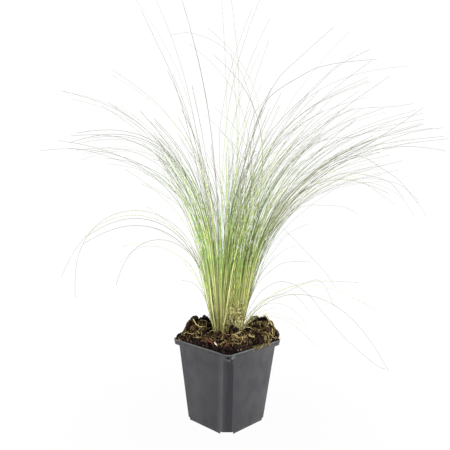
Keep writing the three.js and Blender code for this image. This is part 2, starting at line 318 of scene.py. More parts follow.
def makePotMaterial():
    material, tree, shader = newMaterial("pot_plastic", {"Specular IOR Level": 0.15})
    place = objectPlace(tree)
    height = newNode(tree, "SeparateXYZ", {"Vector": place}).outputs["Z"]
    base = mottleNode(tree, pot["dark"], pot["light"], *pot["patches"])
    # faint upright scuffs from handling and stacking
    drawn = newNode(tree, "Mapping", {"Vector": place, "Scale": pot["scuffStretch"]})
    streaks = noiseNode(tree, drawn.outputs["Vector"], 1, 5)
    thin = rangeNode(tree, streaks, *pot["scuffRange"])
    colour = mixNode(tree, thin, base["Colour"], pot["scuff"])
    # dust in patches, most of it low down and under the rim
    low = rangeNode(tree, height, *pot["lowDust"])
    high = rangeNode(tree, height, *pot["highDust"])
    spots = rangeNode(tree, noiseNode(tree, place, pot["dustScale"], 6), *pot["dustSpots"])
    dust = mathNode(tree, "MULTIPLY", mathNode(tree, "ADD", low, high), spots)
    colour = mixNode(tree, dust, colour, pot["peatDust"])
    # a painted highlight along the top of the lip, a pale line broken by the streaks
    paintedHighlight = mathNode(tree, "MULTIPLY", rangeNode(tree, height, *pot["lipHighlightHeight"]), streaks)
    colour = mixNode(tree, paintedHighlight, colour, pot["lipHighlight"])
    # the cut-off front corner is brighter towards its left edge
    sideways = newNode(tree, "VectorMath", {0: place, 1: (1, 1, 0)}, operation="DOT_PRODUCT")
    right = rangeNode(tree, sideways.outputs["Value"], *pot["sheenRight"])
    left = rangeNode(tree, sideways.outputs["Value"], *pot["sheenLeft"])
    colour = mixNode(tree, mathNode(tree, "MULTIPLY", right, left), colour, pot["sheen"])
    for spot, size, tint in pot["marks"]:
        away = newNode(tree, "VectorMath", {0: place, 1: spot}, operation="DISTANCE")
        near = rangeNode(tree, away.outputs["Value"], size, size * pot["markCore"])
        colour = mixNode(tree, mathNode(tree, "MULTIPLY", near, spots), colour, tint)
    tree.links.new(colour, shader.inputs["Base Color"])
    wear = mathNode(tree, "ADD", base["Mask"], streaks)
    tree.links.new(rangeNode(tree, wear, *pot["roughness"]), shader.inputs["Roughness"])
    scale, strength, depth = pot["grain"]
    linkBump(tree, shader, noiseNode(tree, place, scale, 2), strength, depth)
    return material


shape = copyOf("pot")
bmesh.ops.dissolve_limit(shape, angle_limit=math.radians(1), verts=shape.verts, edges=shape.edges)
sharpEdges = [edge for edge in shape.edges if edge.calc_face_angle(0) > pot["sharp"]]
bmesh.ops.bevel(shape, geom=sharpEdges, offset=pot["softEdge"], affect="EDGES", segments=2,
                profile=0.5, material=-1, clamp_overlap=True)
bmesh.ops.triangulate(shape, faces=shape.faces)
potPiece = finishPiece("nursery_pot", shape, [makePotMaterial()], "pot_plastic", ["pot"])
potPiece.data.set_sharp_from_angle(angle=pot["creased"])
print("pot made:", len(potPiece.data.polygons), "faces")


# strands: thin rods bent along a path

rods = {}
rodSides = 3


def rodMesh(rings):  # an upright rod, one unit between its rings
    if rings not in rods:
        rod = bmesh.new()
        bmesh.ops.create_cone(rod, cap_ends=True, segments=rodSides, radius1=1, radius2=1,
                              depth=rings - 1)
        bmesh.ops.translate(rod, verts=rod.verts, vec=(0, 0, (rings - 1) / 2))
        upright = [e for e in rod.edges if abs(e.verts[0].co.z - e.verts[1].co.z) > 0.5]
        bmesh.ops.subdivide_edges(rod, edges=upright, cuts=rings - 2)
        rods[rings] = bpy.data.meshes.new("rod")
        rod.to_mesh(rods[rings])
        rod.free()
    return rods[rings]


# A strand has a path in metres, a radius at each point, a tone, and how far grown it is at its
# foot and at its tip, where 1 is a blade of full length.
def strandShape(strands):
    shape = bmesh.new()
    for strand in strands:
        shape.from_mesh(rodMesh(len(strand["path"])))
    alongLayer = shape.verts.layers.float.new("along")
    grownLayer = shape.verts.layers.float.new("grown")
    toneLayer = shape.verts.layers.float.new("tone")
    shape.verts.ensure_lookup_table()
    start = 0
    for strand in strands:
        path = strand["path"]
        last = len(path) - 1
        across = Vector((1, 0, 0))
        frames = []
        for i, point in enumerate(path):
            ahead = (path[min(i + 1, last)] - path[max(i - 1, 0)]).normalized()
            across = (across - ahead * across.dot(ahead)).normalized()
            frames.append((point, across, ahead.cross(across)))
        for i in range(start, start + rodSides * len(path)):
            vert = shape.verts[i]
            ring = round(vert.co.z)
            point, across, flank = frames[ring]
            vert.co = point + (across * vert.co.x + flank * vert.co.y) * strand["radii"][ring]
            vert[alongLayer] = ring / last
            foot, tip = strand["grown"]
            vert[grownLayer] = foot + (tip - foot) * ring / last
            vert[toneLayer] = strand["tone"]
        start += rodSides * len(path)
    return shape


def plainStrand(path, radius, tone, taper=1):  # of one radius in millimetres, but for its tip
    radii = [radius * mm] * (len(path) - 1) + [radius * mm * taper]
    return {"path": path, "radii": radii, "tone": tone, "grown": (1, 1)}


# soil

peat = {
    "voxel": 1.3,
    "wall": 43.4,  # half-width of the soil at the top
    "edge": 1.2,  # it is smoother this near to the wall
    "lumpsAbove": (82, 90),  # the lumps fade in between these heights
    "lump": (7.0, 4.6),  # size and height of its lumps
    "crumb": (3.2, 2.4),
    "grain": (1.2, 0.7),
    "stir": (3, 0.7),  # size and reach of its sideways wander
    "seed": 1,
    "toneRange": (-2.2, 2.2),  # from the pits to the tops of the lumps
    "outOfShade": (0.3, 0.8),  # painted shade: the pits below these tones are painted dark, and its own colour fades in between them
    "heap": 5.5,  # how much it rises round the stems
    "heapWidth": (1, 2.1),
    "heapAbove": (86, 97),
    "moundTop": 0.2,  # the part of a mound's width that is flat
    "mounds": [  # across, away, width and added height
        (-43, 10, 13, 7),
        (-21, 12, 13, 3.5),
        (51, 8, 13, 6),
        (27, 13, 12, 4.5),
        (9, -13, 15, 16),
        (21, -7, 9, 8),
        (-22, -5, 9, 6),
    ],
    "dark": (0.0012, 0.0009, 0.0008),
    "brown": (0.022, 0.012, 0.0095),
    "patches": (330, 0.14),  # scale and softness
    "above": 200,  # higher than all of the soil
    "base": 88,  # the height that is taken where there is none
}


def remeshed(shape, voxel):
    mesh = bpy.data.meshes.new("draft")
    shape.to_mesh(mesh)
    shape.free()
    draft = bpy.data.objects.new("draft", mesh)
    bpy.context.scene.collection.objects.link(draft)
    remesh = draft.modifiers.new("remesh", "REMESH")
    remesh.mode = "VOXEL"
    remesh.voxel_size = voxel * mm
    result = bmesh.new()
    result.from_object(draft, bpy.context.evaluated_depsgraph_get())
    bpy.data.objects.remove(draft)
    return result


def makePeatMaterial():
    material, tree, shader = newMaterial("peat", {"Roughness": 0.95, "Specular IOR Level": 0.02})
    patches = mottleNode(tree, peat["dark"], peat["brown"], *peat["patches"])
    outOfShade = rangeNode(tree, attributeNode(tree, "tone"), *peat["outOfShade"])
    # painted shade: the pits take the dark colour and the lumps the mottled one
    colour = mixNode(tree, outOfShade, (*peat["dark"], 1), patches["Colour"])
    tree.links.new(colour, shader.inputs["Base Color"])
    linkBump(tree, shader, patches["Height"], 0.7, 0.0006)
    return material


def stemDistance(x, y, grow=0):  # 1 at the edge of the nearer clump and more outside it
    across = x * math.cos(plantTurn) + y * math.sin(plantTurn)
    away = y * math.cos(plantTurn) - x * math.sin(plantTurn)
    width, depth = (reach + grow for reach in clumpReach)
    return min(math.hypot((across - clump[0]) / width, (away - clump[1]) / depth)
               for clump in clumps.values())


peatMaterial = makePeatMaterial()
noise.seed_set(peat["seed"])  # without it the sideways wander differs from run to run
shape = remeshed(copyOf("soil"), peat["voxel"])
shape.normal_update()
toneLayer = shape.verts.layers.float.new("tone")  # 0 in the pits and 1 on the lumps, for the painted shade in the pits
for vert in shape.verts:
    spot = vert.co / mm
    x, y, z = spot
    room = smooth(0, peat["edge"], peat["wall"] - max(abs(x), abs(y)))
    room *= smooth(*peat["lumpsAbove"], z)
    size, rise = peat["lump"]
    push = rise * (0.55 - noise.voronoi(spot / size)[0][0])
    size, rise = peat["crumb"]
    push += rise * (0.5 - noise.voronoi(spot / size + Vector((7, 3, 1)))[0][0])
    size, rise = peat["grain"]
    push += rise * noise.noise(spot / size)
    vert[toneLayer] = smooth(*peat["toneRange"], push)
    size, reach = peat["stir"]
    aside = noise.noise_vector(spot / size) * reach
    vert.co += (vert.normal * push + aside) * room * mm
    near = 1 - smooth(*peat["heapWidth"], stemDistance(x, y, -1))
    vert.co.z += peat["heap"] * near * smooth(*peat["heapAbove"], z) * mm
    for across, away, width, height in peat["mounds"]:
        middle = onPlant(across, away, 0) / mm
        far = math.hypot(x - middle.x, y - middle.y) / width
        rise = height * (1 - smooth(peat["moundTop"], 1, far))
        vert.co.z += rise * smooth(*peat["heapAbove"], z) * mm
soilTree = BVHTree.FromBMesh(shape)
finishPiece("peat_soil", shape, [peatMaterial], "peat", ["soil"])
print("soil made")


def groundAt(x, y):  # height of the soil's surface in millimetres
    hit = soilTree.ray_cast(Vector((x, y, peat["above"])) * mm, Vector((0, 0, -1)))[0]
    return hit.z / mm if hit else peat["base"]


# litter on the soil: clods, crumbs, bark and fibres

litter = {
    "clods": 170,
    "clodSize": (1.3, 3.6),
    "crumbs": 1500,
    "crumbSize": (0.4, 1.3),
    "bark": 90,
    "barkSize": (1.6, 4.0),
    "barkLift": (0.5, 1.6),  # of the random chips and of those listed
    "edging": 300,  # crumbs along the rim, heaped to just over it
    "edgingSize": (0.7, 2.2),
    "edgingPlace": (40.5, 44.4),
    "edgingHeight": (90.4, 94),
    "edgingDip": 2.4,  # the edging is lower by this at the front left
    "roots": 420,
    "straws": 210,
}
bareHalf = peat["wall"]  # the litter keeps inside this half-width
cornerCut = 2.2  # the soil's corners are rounded off by this
rim = {"half": 45, "top": 92, "hangers": 26, "from": -4, "to": 22}  # fibres hang over one side


def makeLitterMaterial(name, stops, roughness, scale):
    material, tree, shader = newMaterial(name, {"Roughness": roughness, "Specular IOR Level": 0.03})
    ramp = rampNode(tree, attributeNode(tree, "tone"), stops)
    patches = mottleNode(tree, (0.55, 0.55, 0.55), (1.35, 1.3, 1.2), scale, 0.2)
    colour = mixNode(tree, 1, ramp, patches["Colour"], "MULTIPLY")
    tree.links.new(colour, shader.inputs["Base Color"])
    linkBump(tree, shader, patches["Height"], 0.5, 0.0004)
    return material


crumbMaterial = makeLitterMaterial("peat_crumbs", [
    (0.0, (0.0012, 0.0009, 0.0008)),
    (0.4, (0.006, 0.004, 0.003)),
    (0.7, (0.034, 0.019, 0.012)),
    (0.88, (0.09, 0.058, 0.032)),
    (1.0, (0.18, 0.135, 0.07)),
], 0.9, 700)
barkMaterial = makeLitterMaterial("bark_chips", [
    (0.0, (0.012, 0.006, 0.005)),
    (0.4, (0.040, 0.017, 0.011)),
    (0.75, (0.085, 0.034, 0.022)),
    (0.9, (0.16, 0.09, 0.055)),
    (1.0, (0.80, 0.72, 0.62)),
], 0.75, 500)
fibreMaterial = makeLitterMaterial("fibres", [
    (0.0, (0.030, 0.018, 0.009)),
    (0.4, (0.085, 0.062, 0.022)),
    (0.7, (0.19, 0.16, 0.055)),
    (1.0, (0.55, 0.45, 0.24)),
], 0.7, 900)


def clearSpot(draw, size):
    while True:
        x = draw.uniform(-bareHalf, bareHalf)
        y = draw.uniform(-bareHalf, bareHalf)
        room = bareHalf - size - max(abs(x), abs(y))
        room = min(room, 1.414 * bareHalf - cornerCut - size - math.hypot(x, y))
        if room > 0 and stemDistance(x, y, -1.5) > 1:
            return x, y


def addLump(shape, toneLayer, draw, place, sizes, rough, detail, tone):
    verts = bmesh.ops.create_icosphere(shape, subdivisions=detail, radius=1)["verts"]
    for vert in verts:
        vert.co *= 1 + rough * draw.uniform(-1, 1)
        vert[toneLayer] = tone
    turn = Matrix.Rotation(draw.uniform(0, 2 * math.pi), 4, "Z")
    turn = turn @ Matrix.Rotation(draw.gauss(0, 0.5), 4, "X")
    stretch = Matrix.Diagonal((*(Vector(sizes) * mm), 1))
    bmesh.ops.transform(shape, verts=verts, matrix=Matrix.Translation(place * mm) @ turn @ stretch)


draw = random.Random(11)
shape = bmesh.new()
toneLayer = shape.verts.layers.float.new("tone")
for _ in range(litter["clods"]):
    size = draw.uniform(*litter["clodSize"])
    x, y = clearSpot(draw, size * 0.9)
    sizes = (size, size * draw.uniform(0.6, 0.9), size * draw.uniform(0.5, 0.8))
    place = Vector((x, y, groundAt(x, y) + size * draw.uniform(-0.1, 0.3)))
    addLump(shape, toneLayer, draw, place, sizes, 0.16, 2, draw.uniform(0, 0.7))
finishPiece("peat_clods", shape, [crumbMaterial], "peat")

shape = bmesh.new()
toneLayer = shape.verts.layers.float.new("tone")
for _ in range(litter["crumbs"]):
    size = draw.uniform(*litter["crumbSize"])
    x, y = clearSpot(draw, size)
    sizes = (size, size * draw.uniform(0.6, 1), size * draw.uniform(0.5, 0.9))
    place = Vector((x, y, groundAt(x, y) + size * 0.3))
    addLump(shape, toneLayer, draw, place, sizes, 0.2, 1, draw.random() ** 1.4)
for _ in range(litter["edging"]):
    size = draw.uniform(*litter["edgingSize"])
    half = draw.uniform(*litter["edgingPlace"]) - size * 0.5
    place = Vector((draw.uniform(-half, half) * 0.97, -half, 0))
    place.rotate(Matrix.Rotation(draw.randrange(4) * math.pi / 2, 3, "Z"))
    low, high = litter["edgingHeight"]
    high -= litter["edgingDip"] * smooth(-8, -30, place.x) * smooth(0, -30, place.y)
    place.z = max(low, min(groundAt(place.x, place.y), high) + draw.uniform(-0.4, 0.8))
    sizes = (size, size * draw.uniform(0.6, 1), size * draw.uniform(0.5, 0.9))
    addLump(shape, toneLayer, draw, place, sizes, 0.24, 1, draw.random())
finishPiece("peat_crumbs", shape, [crumbMaterial], "peat", soft=False)


def addChip(shape, toneLayer, draw, place, sizes, tilt, turn, tone):  # a thin broken flake
    verts = bmesh.ops.create_cone(shape, cap_ends=True, cap_tris=True, segments=7, radius1=1,
                                  radius2=0.85, depth=2)["verts"]
    for vert in verts:
        vert.co *= 1 + 0.22 * draw.uniform(-1, 1)
        vert[toneLayer] = tone
    lie = Matrix.Rotation(turn, 4, "Z") @ Matrix.Rotation(tilt, 4, "Y")
    stretch = Matrix.Diagonal((*(Vector(sizes) * mm), 1))
    bmesh.ops.transform(shape, verts=verts, matrix=Matrix.Translation(place * mm) @ lie @ stretch)


# chips given one by one: across, away, half-length, turn and tilt in degrees, tone
knownChips = [
    (-25, -34, 3.8, 20, 25, 0.72),
    (-21, -37, 3.4, -30, 40, 0.62),
    (-17, -41, 3.2, 10, 20, 0.68),
    (-12.2, -47, 3.1, 0, 52, 0.95),
    (-29, -30, 3.0, 60, 30, 0.58),
    (-9, -46, 2.8, 30, 15, 0.56),
    (4, -50, 2.8, -20, 15, 0.5),
]
shape = bmesh.new()
toneLayer = shape.verts.layers.float.new("tone")
chips = []
lift, knownLift = litter["barkLift"]
for _ in range(litter["bark"]):
    size = draw.uniform(*litter["barkSize"])
    x, y = clearSpot(draw, size)
    chips.append((x, y, lift, size, draw.uniform(0, 2 * math.pi), draw.gauss(0, 0.35),
                  0.92 * draw.random() ** 1.7))
for across, away, size, turn, tilt, tone in knownChips:
    x, y, _ = onPlant(across, away, 0) / mm
    chips.append((x, y, knownLift, size, math.radians(turn) + plantTurn, math.radians(tilt), tone))
for x, y, rise, size, turn, tilt, tone in chips:
    place = Vector((x, y, groundAt(x, y) + rise))
    sizes = (size, size * draw.uniform(0.3, 0.6), draw.uniform(0.3, 0.6))
    addChip(shape, toneLayer, draw, place, sizes, tilt, turn, tone)
finishPiece("bark_chips", shape, [barkMaterial], "peat", soft=False)


fibres = {
    "mat": {"length": (4, 11), "curl": 4, "lift": (0.6, 2.4), "radius": (0.14, 0.26)},
    "root": {"length": (5, 14), "curl": 3, "lift": (0.2, 1.6), "radius": (0.1, 0.2)},
    "straw": {"length": (4, 13), "curl": 2, "lift": (0.4, 2.2), "radius": (0.14, 0.26)},
    "tones": {"root": (0, 0.55), "straw": (0.5, 1)},
    "steps": 6,
    "wander": 0.25,
    "highest": 110,  # they don't climb the stems past this
    "overRim": 0.4,
    "laidLift": 2.2,
    "laidRadius": 0.42,
    "hangerRadius": (0.16, 0.28),
}


def fibreStrand(draw, x, y, kind, tones):  # lies along the ground
    length = draw.uniform(*kind["length"])
    lift = draw.uniform(*kind["lift"])
    radius = draw.uniform(*kind["radius"])
    tone = draw.uniform(*tones)
    turn = draw.uniform(0, 2 * math.pi)
    bend = draw.uniform(-kind["curl"], kind["curl"])
    steps = fibres["steps"]
    path = []
    for i in range(steps + 1):
        if max(abs(x), abs(y)) < bareHalf:
            height = min(fibres["highest"], groundAt(x, y))
        else:
            height = rim["top"] + fibres["overRim"]
        arch = lift * math.sin(math.pi * i / steps)
        path.append(Vector((x, y, height + radius + arch)) * mm)
        x += math.cos(turn) * length / steps
        y += math.sin(turn) * length / steps
        x = min(bareHalf, max(-bareHalf, x))
        y = min(bareHalf, max(-bareHalf, y))
        turn += bend / steps + draw.gauss(0, fibres["wander"])
    return plainStrand(path, radius, tone, 0.5)


def rimStrand(draw, y, tone):  # hangs over the lip on the right
    x = rim["half"]
    slide = draw.gauss(0, 2.4)
    route = [
        (x - draw.uniform(4, 8), y - 2 * slide, rim["top"] + draw.uniform(1, 3)),
        (x - 1.5, y - slide, rim["top"] + draw.uniform(1, 2.4)),
        (x + 0.4, y + draw.gauss(0, 0.8), rim["top"] + draw.uniform(0.4, 1.6)),
        (x + draw.uniform(0.4, 1.4), y + slide, rim["top"] - draw.uniform(-0.6, 1.6)),
        (x + draw.uniform(0.4, 2.2), y + 1.6 * slide, rim["top"] - draw.uniform(-0.4, 3.4)),
    ]
    path = [Vector(place) * mm for place in route]
    return plainStrand(path, draw.uniform(*fibres["hangerRadius"]), tone)


def laidStrand(route, tone):  # a straw laid over the ground through a few places
    path = []
    for across, away in route:
        x, y, _ = onPlant(across, away, 0) / mm
        path.append(Vector((x, y, groundAt(x, y) + fibres["laidLift"])) * mm)
    return plainStrand(path, fibres["laidRadius"], tone)


# straws given one by one: places across and away
knownStraws = [
    [(29, 15), (33, 14), (38, 12), (43, 9), (47, 5), (50, 1), (52, -4)],
    [(35, 18), (40, 16), (45, 11), (48, 6)],
    [(24, -17), (27, -19), (29.5, -22), (29, -26), (26, -28), (23, -27)],
    [(8, -30), (12, -32), (16, -36), (16, -40)],
    [(-40, 5), (-36, 1), (-31, -2), (-26, -3)],
    [(-34, -8), (-31, -13), (-27, -16), (-22, -17)],
    [(0, -22), (5, -25), (10, -25), (15, -22)],
]
# where roots lie thick on the soil: across, away, spread, how many, the palest tone
fibreMats = [
    (12, -30, 7, 110, 0.95),
    (40, 8, 7, 130, 0.85),
    (46, -4, 4, 50, 0.95),
    (-32, -12, 7, 22, 0.85),
    (-38, 8, 6, 18, 0.8),
]
strands = []
for _ in range(rim["hangers"]):
    strands.append(rimStrand(draw, draw.uniform(rim["from"], rim["to"]), draw.uniform(0.1, 0.85)))
for route in knownStraws:
    strands.append(laidStrand(route, draw.uniform(0.82, 1)))
for across, away, spread, total, palest in fibreMats:
    for _ in range(total):
        x, y, _ = onPlant(across + draw.gauss(0, spread), away + draw.gauss(0, spread), 0) / mm
        x, y = (min(bareHalf, max(-bareHalf, value)) for value in (x, y))
        strands.append(fibreStrand(draw, x, y, fibres["mat"], (0.25, palest)))
for kind, tones in fibres["tones"].items():
    for _ in range(litter[kind + "s"]):
        x, y = clearSpot(draw, 0.5)
        strands.append(fibreStrand(draw, x, y, fibres[kind], tones))
finishPiece("peat_fibres", strandShape(strands), [fibreMaterial], "peat")
print("litter laid")


# grass

tuft = {
    "crownPitch": 4.2,
    "middleColumn": 1.25,
    "middleRow": 2.5,
    "crownTop": 101,
    "rootSunk": 7,
    "rootRing": 1.45,
    "clearance": 1.1,
    "splay": 3.2,
    "scatter": 2.2,
    "fan": 16,
    "turnSpread": 9,
    "tipSpread": 0.13,
    "tipScatter": 4,
    "bowSpread": 0.2,
    "stiffening": 1.4,  # how much straighter the short blades are
    "pathSteps": 24,
    "attempts": 40,
    "coarseTurn": 20,  # degrees between the rings of a coarse blade
    "fineTurn": 9,
    "longest": 400,
}

# each spray: column and row of its crown, azimuth, lean at the crown, lean at the tip,
# where along the blade it bends (higher is later), blade length, number of main blades, how
# much shorter than the longest its shortest blade may be, and how loosely the blades spread
sprayParts = ("azimuth", "lean", "tip", "bow", "length", "blades", "spread", "loose")
leftSprays = [
    (0, 0, 215, 10, 50, 1.4, 300, 13, 0.74, 1),
    (0, 1, 180, 11, 168, 1.45, 312, 4, 0.3, 0.9),
    (0, 2, 178, 7, 74, 1.5, 358, 6, 0.55, 0.7),
    (0, 3, 172, 12, 160, 1.3, 240, 3, 0.4, 1),
    (0, 4, 180, 7, 96, 1.3, 345, 6, 0.55, 0.6),
    (0, 5, 145, 4, 58, 1.5, 280, 13, 0.74, 1),
    (1, 0, 235, 7, 58, 1.7, 275, 12, 0.74, 1),
    (1, 1, 184, 8, 104, 2.0, 318, 8, 0.65, 0.7),
    (1, 2, 180, 5, 62, 1.5, 320, 9, 0.74, 1),
    (1, 3, 178, 8.5, 34, 2.0, 410, 6, 0.65, 1),
    (1, 4, 170, -2, 42, 2.3, 285, 12, 0.74, 1),
    (1, 5, 125, 3, 70, 1.5, 275, 13, 0.74, 1),
    (2, 0, -65, 1, 74, 1.5, 270, 13, 0.74, 1),
    (2, 1, 15, 8, 56, 1.7, 300, 13, 0.74, 1),
    (2, 2, 178, 5, 20, 1.6, 412, 6, 0.74, 1),
    (2, 3, 175, -2, 9, 2.2, 395, 7, 0.8, 1),
    (2, 4, 5, 2, 26, 2.4, 408, 6, 0.8, 1),
    (2, 5, 60, 4, 84, 1.6, 300, 13, 0.74, 1),
]
rightSprays = [
    (0, 0, -95, 5, 80, 1.5, 280, 13, 0.74, 1),
    (0, 1, -20, -5, 44, 1.3, 384, 9, 0.74, 1),
    (0, 2, 0, -7, 60, 1.7, 325, 12, 0.74, 1),
    (0, 3, 184, -7, 68, 2.3, 410, 3, 0.25, 1),
    (0, 4, 20, -8, 84, 1.8, 290, 12, 0.74, 1),
    (0, 5, 95, 6, 110, 1.4, 340, 12, 0.74, 1),
    (1, 0, -50, 4, 64, 1.5, 320, 13, 0.74, 1),
    (1, 1, -14, 1, 76, 1.5, 350, 10, 0.7, 1),
    (1, 2, 0, -2, 72, 1.6, 362, 12, 0.72, 1),
    (1, 3, 6, -3, 72, 1.4, 378, 10, 0.74, 1),
    (1, 4, 18, 2, 84, 1.5, 360, 9, 0.72, 1),
    (1, 5, 46, -3, 88, 1.5, 340, 11, 0.74, 1),
    (2, 0, -34, 5, 74, 1.3, 360, 11, 0.7, 1),
    (2, 1, -12, 5, 98, 1.25, 345, 10, 0.7, 1),
    (2, 2, 0, 6, 92, 1.0, 394, 12, 0.4, 0.35),
    (2, 3, 3, 6, 86, 1.05, 392, 9, 0.5, 0.45),
    (2, 4, 6, 9.5, 150, 1.6, 368, 4, 0.25, 0.6),
    (2, 5, 30, 5, 80, 1.3, 360, 10, 0.72, 1),
    (3, 2, -5, 20, 144, 0.66, 212, 3, 0.3, 0.45),
]


def stream(seed):  # the same seed always gives the same run of numbers from 0 to 1
    state = (seed * 2654435761 + 12345) & 0xFFFFFFFF
    for _ in range(3):
        state = (state * 1664525 + 1013904223) & 0xFFFFFFFF
    while True:
        state = (state * 1664525 + 1013904223) & 0xFFFFFFFF
        yield state / 4294967296


def numbersFor(spray, blade, use):  # one stream for each blade and each use of it
    return stream((spray["number"] * 64 + blade) * 64 + use)


def wobble(numbers):  # mostly near 0, and never past 1.5 either way
    return next(numbers) + next(numbers) + next(numbers) - 1.5


def layOut(table, side, firstNumber):
    sprays = []
    step = tuft["crownPitch"]
    for i, (column, row, *rest) in enumerate(table):
        x = clumps[side][0] + step * (column + (row % 2) / 2 - tuft["middleColumn"])
        rowStep = step * math.cos(math.pi / 6)
        y = clumps[side][1] + rowStep * (row - tuft["middleRow"])
        spray = dict(zip(sprayParts, rest))
        spray.update(name=f"{side}_spray_{i + 1:02d}", side=side, number=firstNumber + i, x=x, y=y)
        sprays.append(spray)
    return sprays


def drawBlade(spray, index, attempt, blades):
    numbers = numbersFor(spray, index, attempt + 1)
    ring = math.sqrt((index + 0.5) / blades)
    turn = index * math.pi * (3 - math.sqrt(5))
    offX = ring * math.cos(turn)
    offY = ring * math.sin(turn)
    azimuth = math.radians(spray["azimuth"])
    loose = spray["loose"]
    outX = loose * (tuft["splay"] * offX + tuft["scatter"] * wobble(numbers))
    outY = loose * (tuft["splay"] * offY + tuft["scatter"] * wobble(numbers))
    leanX = spray["lean"] * math.cos(azimuth) + outX
    leanY = spray["lean"] * math.sin(azimuth) + outY
    sideways = offY * math.cos(azimuth) - offX * math.sin(azimuth)
    aside = tuft["fan"] * sideways + tuft["turnSpread"] * wobble(numbers)
    heading = azimuth + math.radians(loose * aside)
    further = tuft["tipSpread"] * spray["tip"] * wobble(numbers) + tuft["tipScatter"] * wobble(numbers)
    tip = spray["tip"] + loose * further
    bow = spray["bow"] * (1 + loose * tuft["bowSpread"] * wobble(numbers))
    share = 1.02 - spray["spread"] * next(numbers)
    give = min(1, share) ** tuft["stiffening"]
    return {
        "x": spray["x"] + tuft["rootRing"] * offX,
        "y": spray["y"] + tuft["rootRing"] * offY,
        "leanX": leanX,
        "leanY": leanY,
        "tipX": leanX + (tip * math.cos(heading) - leanX) * give,
        "tipY": leanY + (tip * math.sin(heading) - leanY) * give,
        "bow": bow,
        "length": spray["length"] * share,
    }


def bendAt(blade, t):
    q = t ** blade["bow"]
    return q * q * (3 - 2 * q)


def tracePath(blade, degrees, fewest=2):  # points in the tuft's frame, closer where it bends
    turnTotal = math.hypot(blade["tipX"] - blade["leanX"], blade["tipY"] - blade["leanY"])
    steps = min(tuft["pathSteps"], fewest + math.floor(turnTotal / degrees + 0.5))
    x, y, z = blade["x"], blade["y"], tuft["crownTop"] - 0.5
    path = [(x, y, z)]
    stride = blade["length"] / tuft["pathSteps"]
    for i in range(tuft["pathSteps"]):
        bend = bendAt(blade, (i + 0.5) / tuft["pathSteps"])
        leanX = math.radians(blade["leanX"] + (blade["tipX"] - blade["leanX"]) * bend)
        leanY = math.radians(blade["leanY"] + (blade["tipY"] - blade["leanY"]) * bend)
        lean = math.hypot(leanX, leanY)
        flat = math.sin(lean) / lean if lean > 0 else 1
        x += leanX * flat * stride
        y += leanY * flat * stride
        z += math.cos(lean) * stride
        end = (i + 1) / tuft["pathSteps"]
        if (0.4 * end + 0.6 * bendAt(blade, end)) * steps >= len(path) - 1e-9:
            path.append((x, y, z))
    return path


def leastDistance(path, starts, ends):  # from a path's segments to many other segments
    path = np.array(path)
    a = path[:-1, None]
    u = path[1:, None] - a
    v = (ends - starts)[None]
    w = a - starts[None]
    uu = (u * u).sum(2)
    vv = (v * v).sum(2)
    uv = (u * v).sum(2)
    uw = (u * w).sum(2)
    vw = (v * w).sum(2)
    spread = uu * vv - uv * uv
    s = np.where(spread > 1e-9, (uv * vw - uw * vv) / np.maximum(spread, 1e-9), 0)
    t = np.clip((uv * np.clip(s, 0, 1) + vw) / vv, 0, 1)
    s = np.clip((uv * t - uw) / uu, 0, 1)
    return np.linalg.norm(w + u * s[..., None] - v * t[..., None], axis=2).min()


# The main blades: each is drawn again until it comes clear of the sprays that grew before it.
def growBlades(sprays):
    starts = np.full((1, 3), -1e4)
    ends = starts + 1
    for spray in sprays:
        spray["grown"] = {}
        own = []
        for index in range(spray["blades"]):
            for attempt in range(tuft["attempts"]):
                blade = drawBlade(spray, index, attempt, spray["blades"])
                path = tracePath(blade, tuft["coarseTurn"])
                if leastDistance(path, starts, ends) >= tuft["clearance"]:
                    spray["grown"][index] = blade
                    own.append(np.array(path))
                    break
        starts = np.concatenate([starts] + [path[:-1] for path in own])
        ends = np.concatenate([ends] + [path[1:] for path in own])


sprays = layOut(leftSprays, "left", 1)
sprays += layOut(rightSprays, "right", 1 + len(leftSprays))
growBlades(sprays)
print("main blades drawn:", sum(len(spray["grown"]) for spray in sprays))

blades = {
    "root": 0.32,  # radii in millimetres
    "middle": 0.26,
    "tip": 0.19,
    "partners": 0.8,  # how many main blades have a finer one that keeps close to them
    "partnerSize": 0.7,
    "lonely": 140,  # a blade that leans this far at its tip has none
    "fillers": 2,  # more blades in each spray, most of them short
    "fillerLength": (0.14, 0.55),
    "fillerSize": 0.8,
    "shortTurn": 1.5,  # a short blade turns this much further than a long one's foot
    "sheaths": 5,  # stout young shoots at the foot of each spray
    "sheathSize": 1.8,
    "sheathLength": (0.04, 0.12),
    "sheathTone": {"left": (0, 0.84), "right": (0.68, 1)},  # above 0.84 it is dead and pale
    "narrow": 0.72,  # the clumps draw in this much at the soil, over this rise
    "narrowRise": (3, 28),
    "oldest": 0.42,  # how old the lowest blades are at the foot, by how far they hang over
    "oldHang": (95, 140),
}


def bladeStrand(blade, size, tone, oldest=0, drawnIn=True):
    points = tracePath(blade, tuft["fineTurn"], 8)
    x, y, z = points[0]
    points.insert(0, (x, y, z - tuft["rootSunk"]))
    last = len(points) - 1
    radii = []
    for i in range(last + 1):
        share = i / last
        radius = blades["root"] + (blades["middle"] - blades["root"]) * min(1, share * 2)
        radius += (blades["tip"] - radius) * smooth(0.45, 1, share)
        radii.append(radius * size * mm)
    # the foot of the clump is narrower than the blades' crowns
    middle = min(clumps.values(), key=lambda clump: math.dist(clump, points[0][:2]))
    path = []
    least = blades["narrow"] if drawnIn else 1
    rise = 0
    for x, y, z in points:
        rise = max(rise, z - tuft["crownTop"])
        part = least + (1 - least) * smooth(*blades["narrowRise"], rise)
        path.append(onPlant(middle[0] + (x - middle[0]) * part,
                            middle[1] + (y - middle[1]) * part, z))
    # the blades that hang lowest are old and grey from the foot up
    hang = math.hypot(blade["tipX"], blade["tipY"])
    foot = max(oldest, blades["oldest"] * smooth(*blades["oldHang"], hang))
    grown = (foot, max(foot, blade["length"] / tuft["longest"]))
    return {"path": path, "radii": radii, "tone": tone, "grown": grown}


